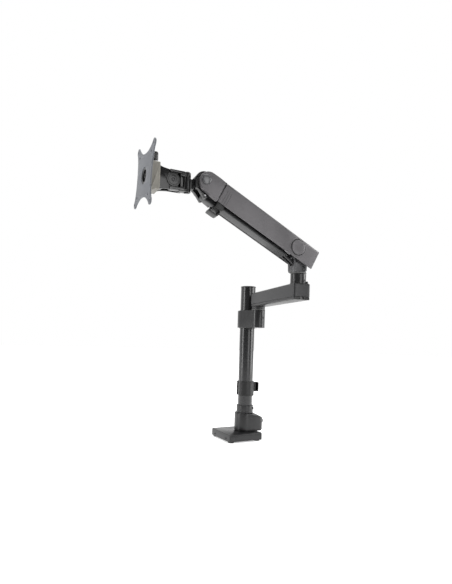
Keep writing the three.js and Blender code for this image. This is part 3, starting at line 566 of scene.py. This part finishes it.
piece("collar_grub_screw", "collar", COLLAR, [set_screw], black_steel, ("collar_set_screw",))

# %% [markdown]
# ## Lower link
# The link is a hollow bar with a round end over the collar and a square end under the arm. Its upper edges are
# generously rounded and its underside is closed by a clip-on lid, so a shadow line runs round its lower edge.

# %% Link bar, lid and latch
bar_low, bar_high = 361.0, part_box("link_bar")[1][2] * 1000
bar_end = link_length + 20
bar_outline = np.vstack([arc(20, 90, 270, count=48),
                         soften(rectangle(0, bar_end, -20, 20), [0.1, 6, 6, 0.1], 8)[8:24]])
bar_profile = np.vstack([
    [[1.4, bar_low], [0.7, bar_low + 0.4], [0.7, bar_low + 4.8], [1.9, bar_low + 5.1], [1.9, bar_low + 5.7],
     [0.2, bar_low + 6]], rim(bar_low + 6.2, bar_high, 0, 4.0, 9)])
boss = drum(17.2, 353.2, bar_low + 1, 0.5, 96)
piece("link_bar_shell", "link", LINK, [loft(bar_outline, bar_profile), boss], link_grey, ("link_bar", "swivel_pin"),
      30)
lid = slab(soften(rectangle(22, bar_end - 1.5, -16.5, 16.5), 3, 5), bar_low - 0.7, bar_low + 0.6, 0.4)
latch = along(soften(rectangle(-5.2, 5.2, bar_low - 1, bar_low + 7), 1.6, 5), bar_end - 5, bar_end + 1.3, 0.7)
skirt = along(soften(rectangle(-17.6, 17.6, bar_low - 0.8, bar_low + 5.4), 0.8, 4), bar_end - 4, bar_end + 0.4, 0.3)
piece("link_lid", "link", LINK, [lid, skirt], moulded_black, ("link_cable_cover",))
piece("link_lid_latch", "link", LINK, [latch], gloss_black, ())
washer_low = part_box("link_washer")[0][2] * 1000
washer = rounded_turn([[8, washer_low], [18.2, washer_low], [18.2, washer_low + 1.7], [8, washer_low + 1.7]], 0.3)
piece("link_thrust_washer", "link", LINK, [washer], nylon, ("link_washer",))

# %% Post, stop and screw on the link's end
post = rounded_turn([[8, bar_high], [17.4, bar_high], [17.4, bar_high + 2.2], [17, bar_high + 2.6], [17, 416.4],
                     [16.2, 418], [8, 418]], 0.4)
piece("swivel_post_turned", "link", LINK, [moved(post, link_length)], satin_black, ("swivel_post",))
post_screw = moved(facing(moved(carried_along(socket_screw(2.6, 1.2, 0.5)), 16.8, 0, bar_high + 6), 18), link_length)
piece("swivel_post_grub_screw", "link", LINK, [post_screw], black_steel, ("swivel_post_screw",))
stop = turn([[2.6, bar_high - 0.6], [2.6, bar_high + 2], [2.3, bar_high + 3.6], [1.5, bar_high + 4.5],
             [0.5, bar_high + 4.8]], 48)
piece("rotation_stop_pin", "link", LINK, [moved(stop, link_length + 14.2, 13.6)], moulded_black, ("rotation_stop",))

# %% [markdown]
# ## Swivel bracket
# The bracket turns on the post and holds the arm between two flat cheeks. Its neck is round in front and flat at
# the sides. A pale washer shows between it and the post.

# %% Bracket neck and cheeks
swivel_ring = rounded_turn([[8, 418.2], [17.5, 418.2], [17.5, 420], [8, 420]], 0.3)
piece("swivel_thrust_washer", "bracket", BRACKET, [swivel_ring], nylon, ("swivel_washer",))
half_angle = math.degrees(math.asin(15 / 19))
neck_outline = np.vstack([arc(19, -half_angle, half_angle, count=36),
                          soften([[2, 15], [-12, 15], [-12, -15], [2, -15]], [0.1, 5, 5, 0.1], 6)[1:-1]])
neck = slab(neck_outline, 420.2, 435, 0.9)
pivot = joint_point("arm_lift")
pivot_x = float((pivot - arm_pivot) @ BRACKET[0][:, 0])
pivot_z = float(pivot[2])
cheek_outline = np.vstack([
    soften([[-13, 424.5], [2, 420.6], [15, 420.6], [17.6, 424], [18.6, 445], [27, 462]], [2, 1, 3, 3, 9, 1], 6)[:-3],
    arc(11, -28, 150, pivot_x, pivot_z, 26), [[-12, 443]]])
cheeks = [wall_at(cheek_outline, side * 11.4, 3.6) for side in (-1, 1)]
bosses = [carried_across(drum(8.4, side * 18.4 - 3.6, side * 18.4 + 3.6, 0.4, 48)) for side in (-1, 1)]
bosses = [moved(b, pivot_x, 0, pivot_z) for b in bosses]
piece("bracket_casting", "bracket", BRACKET, [neck] + cheeks + bosses, bracket_grey, ("swivel_bracket",),
      30)

# %% [markdown]
# ## Upper arm
# A pressed channel covers the gas spring and the rail. A forked casting closes its front, with a shadow line
# where they meet. Thin discs cover the rear pivot and domes cover the front one.

# %% Arm cover
half, arm_top, arm_bottom, wall = 25.0, 21.3, -22.8, 2.6
inside, roof = half - wall, arm_top - wall
channel = soften([[-inside, arm_bottom], [-inside, roof], [inside, roof], [inside, arm_bottom], [half, arm_bottom],
                  [half, arm_top], [-half, arm_top], [-half, arm_bottom]], [1.2, 3.5, 3.5, 1.2, 1.2, 5.5, 5.5, 1.2], 8)
cover = along(channel, -50, 198.9, 0.5)
rear_wall = along(soften(rectangle(-22.3, 22.3, 4, 18.6), 1.2, 4), -49.6, -46.6, 0.5)
# Thin strips in the darker link coat: painted shade of fine grooves beside the seam and along the top edge
groove_shade_lines = [rectangle(x, x + 0.8, arm_bottom + 1.5, 8) for x in (180.5, 185.5, 190.5)]
groove_shade_lines.append(rectangle(176, 196, 16.4, 17.1))
flutes = [wall_at(soften(shade_mark, 0.35, 3), side * 24.95, 0.2, 0.1) for shade_mark in groove_shade_lines for side in (-1, 1)]
piece("arm_cover_groove_shade", "arm", ARM, flutes, link_grey, ())
piece("arm_cover_shell", "arm", ARM, [cover, rear_wall], arm_grey, ("arm_cover",), 30)

# %% Front fork, caps and clip
fork_outline = np.vstack([
    soften([[200.4, 21.3], [200.4, -24.2], [226, -20.9]], [1.5, 1.5, 6], 5)[:-5],
    arc(20.6, -84, 84, 232, 0, 48), [[216, 21.0]]])
prongs = [wall_at(fork_outline, side * 21, 4, 1.3) for side in (-1, 1)]
web = along(soften(rectangle(-17.2, 17.2, 2, 20.6), 1.5, 4), 186, 211, 1.0)
stub = [wall_at(soften(rectangle(168, 201, -17.8, 15), 1, 4), side * 18.4, 3.6, 0.5) for side in (-1, 1)]
piece("arm_front_fork", "arm", ARM, prongs + [web] + stub, arm_grey, ("front_yoke",), 30)
rear_profile = [[2, -0.4], [16.0, -0.4], [16.0, 1.3], [15.7, 1.75], [15.0, 2.0], [8, 2.1], [2, 2.12]]
front_profile = [[1, -0.4], [10, -0.4], [10, 1.4], [9.5, 2.4], [8.2, 3.1], [6, 3.5], [3, 3.7], [1, 3.75]]
# A thin gloss black ring round each rear disc: painted shade in the gap round the cap
groove_shade_ring = rounded_turn([[15.8, -0.6], [17.6, -0.6], [17.6, 0.16], [15.8, 0.16]], 0.08)
for side, word in ((1, "left"), (-1, "right")):
    rear = moved(outward(carried_across(turn(rear_profile, 128)), side), 0, side * half, 0)
    front = moved(outward(carried_across(turn(front_profile, 96)), side), ARM_LENGTH, side * half, 0)
    shade_mark = moved(outward(carried_across(groove_shade_ring), side), 0, side * half, 0)
    piece(f"rear_disc_{word}", "arm", ARM, [rear], arm_grey, (f"rear_cap_{word}",))
    piece(f"rear_disc_shade_ring_{word}", "arm", ARM, [shade_mark], gloss_black, ())
    piece(f"front_dome_{word}", "arm", ARM, [front], dome_grey, (f"front_cap_{word}",))
stirrup = soften([[-22, -19.2], [-22, -33.4], [22, -33.4], [22, -19.2], [18.6, -19.2], [18.6, -31.0], [-18.6, -31.0],
                  [-18.6, -19.2]], [0.5, 3.5, 3.5, 0.5, 0.5, 1.5, 1.5, 0.5], 6)
hook_side = soften([[181.2, -32.2], [181.2, -43.0], [204, -43.0], [204, -36.8], [201.2, -36.8], [201.2, -40.4],
                    [184.2, -40.4], [184.2, -32.2]], [0.3, 6.5, 1.6, 1.2, 1.2, 1.2, 4.5, 0.3], 8)
piece("arm_clip", "arm", ARM, [along(stirrup, 181, 198, 0.5), across(hook_side, -10, 10, 0.7)], moulded_black,
      ("arm_cable_clip",), 30)

# %% Lower rail
rail_pivot = joint_point("rail_lift")
rail_x, rail_z = (float((rail_pivot - ARM[1]) @ ARM[0][:, i]) for i in (0, 2))
front_x = rail_x + ARM_LENGTH
gutter = soften([[-13, -19], [-13, -26], [13, -26], [13, -19], [10.8, -19], [10.8, -23.8], [-10.8, -23.8],
                 [-10.8, -19]], [0.4, 2.2, 2.2, 0.4, 0.4, 1.4, 1.4, 0.4], 6)
rear_ear = np.vstack([arc(6, 95, 268, rail_x, rail_z, 26), soften(
    [[rail_x, rail_z - 6], [13, -26], [22, -26], [22, -23.8], [rail_x + 4, rail_z + 3]], [0.2, 2, 0.4, 0.4, 3], 5)[5:]])
ears = [wall_at(rear_ear, side * 5.7, 1.5, 0.4) for side in (-1, 1)]
nose = np.vstack([arc(5.5, -88, 95, front_x, rail_z, 26),
                  soften([[192, -19.4], [192, -23.8], [181, -23.8], [181, -26]], 0.4, 4)])
piece("lower_rail_channel", "rail", ARM, [along(gutter, 12, 196, 0.45)] + ears + [across(nose, -7.1, 7.1, 0.8)],
      link_grey, ("lower_rail",), 30)

# %% [markdown]
# ## Knuckle and head
# Two links of equal length keep the knuckle level at every height. A vertical hinge lets the head pan, friction
# discs hold its tilt, and the plate turns on a hub. The small knob on top releases the display.

# %% Knuckle and pan hinge
knuckle_outline = np.vstack([
    arc(6.4, 180, 288, -2, -28, 16), soften([[13, -18], [19.2, -12], [19.2, 8]], [3, 3, 3], 5),
    arc(19.2, 25, 118, 0, 0, 26), soften([[-9.3, 16.6], [-9.3, -26]], [0.4, 0.4], 3)])
parts = [across(knuckle_outline, low, high, 1.1) for low, high in ((-16.6, -7.6), (7.6, 16.6))]
middle_outline = np.vstack([arc(19.0, -20, 118, 0, 0, 36), soften([[-9.2, 16], [-9.2, -13], [14, -13]], 1.5, 4)])
parts.append(across(middle_outline, -8, 8, 0.4))
piece("knuckle_casting", "neck", KNUCKLE, parts, satin_black, ("knuckle",), 30)
centre = -6.0
barrel = moved(drum(7, centre - 11.5, centre + 11.5, 0.5, 80), PAN_X)
tongue = across(soften(rectangle(19, PAN_X, centre - 9.6, centre + 9.6), 1, 4), -4.2, 4.2, 0.8)
pad = across(soften(rectangle(18.9, 21.4, centre - 10.6, centre + 10.6), 0.6, 4), -7, 7, 0.6)
piece("pan_neck_barrel", "neck", KNUCKLE, [barrel, tongue, pad], satin_black, ("pan_neck",), 30)
tall, deep = 20.8, 17.6
lug_heights = (12.1, tall), (-deep, -12.1)
lugs = [moved(drum(7, z0, z1, 0.6, 80), PAN_X) for z0, z1 in lug_heights]
arms = [across(soften(rectangle(PAN_X, 48, z0, z1), 0.8, 4), -7, 7, 0.8) for z0, z1 in lug_heights]
window = soften(rectangle(40.8, 48.0, -10.5, 10.5), 0.8, 4)
sides = [carried_across(pierced(soften(rectangle(38.9, 49.3, -16.6, 19.6), 1.2, 5), [window], y - 2.2, y + 2.2, 0.5))
         for y in (-8.3, 8.3)]
core = across(soften(rectangle(39.6, 49, -16, 19), 1, 4), -6.4, 6.4, 0.5)
upper_wing = soften([[41, 13.6], [52, 14.2], [72, 14.4], [72, 18.4], [41, 18.6]], [1.2, 4, 1.2, 2, 1.2], 6)
lower_wing = soften([[41, -13.4], [41, -16.6], [72, -17.4], [72, -14.4], [52, -14.2]], [1.2, 1.2, 2, 1.2, 4], 6)
wings = [wall_at(wing, side * 12, 1.1, 0.5) for side in (-1, 1) for wing in (upper_wing, lower_wing)]
wings += [across(soften(rectangle(41, 47.6, z0, z1), 1.2, 4), -11.4, 11.4, 0.5)
          for z0, z1 in ((13.8, 18.4), (-16.4, -13.6))]
tenon = across(soften(rectangle(46, 68, -16.2, 18.0), [2, 6, 6, 2], 6), -5.3, 5.3, 0.5)
piece("pan_yoke_casting", "head", HEAD, lugs + arms + sides + wings + [core, tenon], head_black, ("pan_yoke",),
      30)
pin_head = moved(turn([[1, tall - 2], [5.4, tall - 2], [5.4, tall + 1.4], [4.8, tall + 2.1], [3.2, tall + 2.3],
                       [2.6, tall + 1.5], [1, tall + 1.5]], 64), PAN_X)
pin_foot = moved(drum(3.4, -deep - 1.4, -deep + 1, 0.5, 48), PAN_X)
piece("pan_pin_cap", "head", HEAD, [pin_head, pin_foot], gloss_black, ("pan_hinge_pin",))

# %% Tilt fork, discs, block and knob
ear = np.vstack([arc(14, 90, 270, TILT_X, 0, 48), soften(
    [[69, -18.2], [79, -19.5], [86, -20.5], [92.8, -23], [92.8, 23], [86, 20.5], [79, 19.5], [69, 18.2]],
    [3, 5, 6, 0.6, 0.6, 6, 5, 3], 6)])
fork_sides = [wall_at(ear, y, 2.2, 1.0) for y in (-8.3, 8.3)]
saddle = across(soften([[84, -19.6], [92.7, -22], [92.7, 22], [84, 19.6]], 1.2, 4), -9.8, 9.8, 0.8)
piece("tilt_fork_casting", "tilt", HEAD, fork_sides + [saddle], head_black, ("tilt_fork",), 30)
disc_profile = [[1.5, -0.4], [13.6, -0.4], [13.6, 0.9], [13.0, 1.4], [11.4, 1.5], [11.0, 0.9], [10.4, 0.9],
                [10.0, 1.5], [6.2, 1.7], [5.8, 1.1], [1.5, 1.1]]
for side, word in ((1, "left"), (-1, "right")):
    disc = moved(outward(carried_across(turn(disc_profile, 128)), side), TILT_X, side * 10.5, 0)
    bolt = moved(outward(carried_across(moved(socket_screw(4.0, 1.9, 0.5), z=0.4)), side), TILT_X, side * 10.5, 0)
    piece(f"tilt_friction_disc_{word}", "tilt", HEAD, [disc], head_black, (f"tilt_disc_{word}",))
    piece(f"tilt_bolt_head_{word}", "tilt", HEAD, [bolt], black_steel, ("tilt_bolt",) if side > 0 else ())
block_side = soften([[93, -25.5], [99, -25.5], [112.8, -31.5], [112.8, 25.5], [93, 25.5]], [1, 3, 1, 1, 1.6], 6)
piece("display_block_casting", "tilt", HEAD, [across(block_side, -18, 18, 1.2)], block_grey, ("display_block",),
      30)
knob_top = 49.8
knob_profile = [[1.5, 33.4], [4.6, 33.4], [5.4, 34.0], [5.6, 34.8], [5.6, 46.8], [5.2, 48.6], [4.4, 49.5],
                [3.4, knob_top], [2.8, knob_top - 0.5], [1.5, knob_top - 0.5]]
stem = turn([[1, 25], [2.7, 25], [2.7, 34], [1, 34]], 48)
piece("release_knob_grip", "knob", HEAD, [moved(turn(knob_profile, 144, 18, 0.035), KNOB_X)], gloss_black,
      ("release_knob",))
piece("release_knob_stem", "knob", HEAD, [moved(stem, KNOB_X)], zinc, ())

# %% [markdown]
# ## Mounting plate
# The plate is pressed from sheet in an X, so that its four ears reach the 100 mm hole square and clear the hub.
# An outline with round holes in it can't be one grid, so each edge gets its own rounded wall, and the two faces
# between them are filled by tessellation.

# %% Plate with its hole squares, and hub
def bent(start, handle, end, count=14):
    """A quadratic curve (1-t)^2 a + 2t(1-t) b + t^2 c between two ears."""
    t = np.linspace(0, 1, count)[1:-1, None]
    return (1 - t) ** 2 * start + 2 * t * (1 - t) * handle + t ** 2 * end


ears, quarter_turn = [], np.array([[0, -1], [1, 0]])
ear_radius, ear_centre = 7.6, np.array([50.0, 50.0])
ear_arc = arc(ear_radius, 45 - 100.3, 45 + 100.3, *ear_centre, count=22)
outline = []
for quarter in range(4):
    spin = np.linalg.matrix_power(quarter_turn, quarter)
    depth = 40 if quarter % 2 == 0 else 46
    start, end = ear_arc[-1], (ear_arc[0] @ quarter_turn.T)
    dip = np.array([0.0, depth])
    left = bent(start, np.array([depth * 0.62, depth * 0.99]), dip)
    right = bent(dip, np.array([-depth * 0.62, depth * 0.99]), end)
    outline.append(np.vstack([ear_arc, left, [dip], right]) @ spin.T)
outline = np.vstack(outline)
corners = [(a, b) for a in (1, -1) for b in (1, -1)]
holes = [circle(2.4, a * p / 2, b * p / 2, 28) for p in (75, 100) for a, b in corners] + [circle(15.5, count=72)]
plate = carried_along(pierced(outline, holes, PLATE_BACK, PLATE_FACE, 0.45))
piece("vesa_plate_pressing", "plate", PLATE, [plate], plate_grey, ("vesa_plate",), 30)
hub = carried_along(turn([[3, 113.1], [23.4, 113.1], [24, 113.6], [24, 116.6], [23.5, 117.1], [15.2, 117.1],
                          [15.2, 118.6], [14.8, 119], [12.2, 119], [11.6, 118.4], [11.2, 115.4], [3, 115.2]], 128))
hub_bolt = carried_along(moved(socket_screw(4.6, 2.2, 0.5), 0, 0, 115.2))
piece("plate_hub", "plate", PLATE, [hub], satin_black, ("turn_hub",))
piece("plate_hub_bolt", "plate", PLATE, [hub_bolt], black_steel, ())

# %% [markdown]
# ## Pins and spring that stay as they are
# The pins, the gas cylinder and its rod have the right shape in the frame already, so they only get a finish.

# %% Finish for the frame's own pieces
steel_pieces = ("rear_pivot_pin", "rail_rear_pin", "spring_anchor_pin", "front_pivot_pin", "spring_front_pin",
                "rail_front_pin", "gas_spring_rod")
for names, finish in ((steel_pieces, zinc), (("gas_spring_cylinder",), gloss_black)):
    for name in names:
        frame["nodes"][name].data.materials.clear()
        frame["nodes"][name].data.materials.append(finish)
kept = [n for n, o in frame["nodes"].items() if not o.hide_render]
print("frame pieces kept:", kept)

# %% [markdown]
# ## Floor, light and camera
# Black pieces show only what they mirror. So the room is pale in front of the camera and dim behind it: the
# middles of round pieces go dark, and their edges pick up the pale side. Two tall soft boxes draw the streaks.

# %% Room and floor
world = bpy.data.worlds.new("studio")
bpy.context.scene.world = world
world.use_nodes = True
tree = world.node_tree
camera_point = Vector((-0.6479, -1.0089, 0.2684))
look = Vector((0.4555, 0.8902, 0.007)).normalized()
coordinate = tree.nodes.new("ShaderNodeTexCoord")
facing_look = tree.nodes.new("ShaderNodeVectorMath")
facing_look.operation = "DOT_PRODUCT"
facing_look.inputs[1].default_value = look
ramp = tree.nodes.new("ShaderNodeValToRGB")
ramp.color_ramp.elements[0].position = 0.36
ramp.color_ramp.elements[0].color = (0.3, 0.3, 0.305, 1)
ramp.color_ramp.elements[1].position = 0.62
ramp.color_ramp.elements[1].color = (1, 1, 1, 1)
half_way = tree.nodes.new("ShaderNodeMapRange")
half_way.inputs["From Min"].default_value = -1
tree.links.new(coordinate.outputs["Generated"], facing_look.inputs[0])
tree.links.new(facing_look.outputs["Value"], half_way.inputs["Value"])
tree.links.new(half_way.outputs["Result"], ramp.inputs["Fac"])
tree.links.new(ramp.outputs["Color"], tree.nodes["Background"].inputs["Color"])

reach_of_floor, just_below = 9, -0.0004
floor_corners = rectangle(-reach_of_floor, reach_of_floor, -reach_of_floor, reach_of_floor)
floor_mesh = bpy.data.meshes.new("floor")
floor_mesh.from_pydata([(x, y, just_below) for x, y in floor_corners.tolist()], [], [(0, 1, 2, 3)])
floor = bpy.data.objects.new("floor", floor_mesh)
bpy.context.scene.collection.objects.link(floor)
floor_paint = bpy.data.materials.new("pale_floor")
floor_paint.use_nodes = True
floor_tree = floor_paint.node_tree
paint = floor_tree.nodes["Principled BSDF"]
paint.inputs["Roughness"].default_value = 0.9
paint.inputs["Emission Color"].default_value = (1, 1, 1, 1)
away = floor_tree.nodes.new("ShaderNodeTexCoord")
along_look = floor_tree.nodes.new("ShaderNodeVectorMath")
along_look.operation = "DOT_PRODUCT"
along_look.inputs[1].default_value = (look[0], look[1], 0)
floor_tree.links.new(away.outputs["Object"], along_look.inputs[0])


def floor_range(from_min, from_max, to_min, to_max):
    """A value that rises along the look, from one distance to another."""
    node = floor_tree.nodes.new("ShaderNodeMapRange")
    for label, value in (("From Min", from_min), ("From Max", from_max), ("To Min", to_min), ("To Max", to_max)):
        node.inputs[label].default_value = value
    floor_tree.links.new(along_look.outputs["Value"], node.inputs["Value"])
    return node.outputs["Result"]


# The floor glows, weakly near the camera and strongly past the object: painted light. Its colour falls from 0.93 to
# 0.55 towards and behind the camera: painted shade
floor_tree.links.new(floor_range(-0.6, 0.5, 0.1, 0.8), paint.inputs["Emission Strength"])
shade = floor_range(-2.4, -0.75, 0.55, 0.93)
grey = floor_tree.nodes.new("ShaderNodeCombineColor")
for channel_name in ("Red", "Green", "Blue"):
    floor_tree.links.new(shade, grey.inputs[channel_name])
floor_tree.links.new(grey.outputs["Color"], paint.inputs["Base Color"])
floor_mesh.materials.append(floor_paint)

# %% Soft boxes and camera
def soft_box(name, place, size, power):
    """A rectangular light that faces the middle of the object."""
    lamp = bpy.data.lights.new(name, "AREA")
    lamp.shape = "RECTANGLE"
    lamp.size, lamp.size_y, lamp.energy = size[0], size[1], power
    box = bpy.data.objects.new(name, lamp)
    bpy.context.scene.collection.objects.link(box)
    box.location = place
    aim = Vector((-0.15, -0.15, 0.35)) - Vector(place)
    box.rotation_euler = aim.to_track_quat("-Z", "Y").to_euler()
    return box


right = Vector((0.8902, -0.4555, 0))
soft_box("left_box", camera_point - right * 1.3 + look * 0.7 + Vector((0, 0, 0.3)), (0.35, 1.8), 14)
soft_box("right_box", camera_point + right * 1.6 + look * 1.0 + Vector((0, 0, 0.3)), (0.6, 1.8), 20)
soft_box("key_box", Vector((0.04, -1.75, 0.62)), (0.6, 1.3), 8)
soft_box("top_box", Vector((-0.2, -0.3, 2.0)), (1.6, 1.6), 22)
camera_data = bpy.data.cameras.new("camera")
camera_data.lens = 26.48
camera_data.shift_x = 0.0365
camera_data.shift_y = 0.0762
camera = bpy.data.objects.new("camera", camera_data)
bpy.context.scene.collection.objects.link(camera)
level = look.to_track_quat("-Z", "Y").to_matrix()
roll = Matrix.Rotation(math.radians(1.8), 3, "Z")
camera.matrix_world = Matrix.Translation(camera_point) @ (level @ roll).to_4x4()
bpy.context.scene.camera = camera
bpy.context.scene.view_settings.view_transform = "Standard"
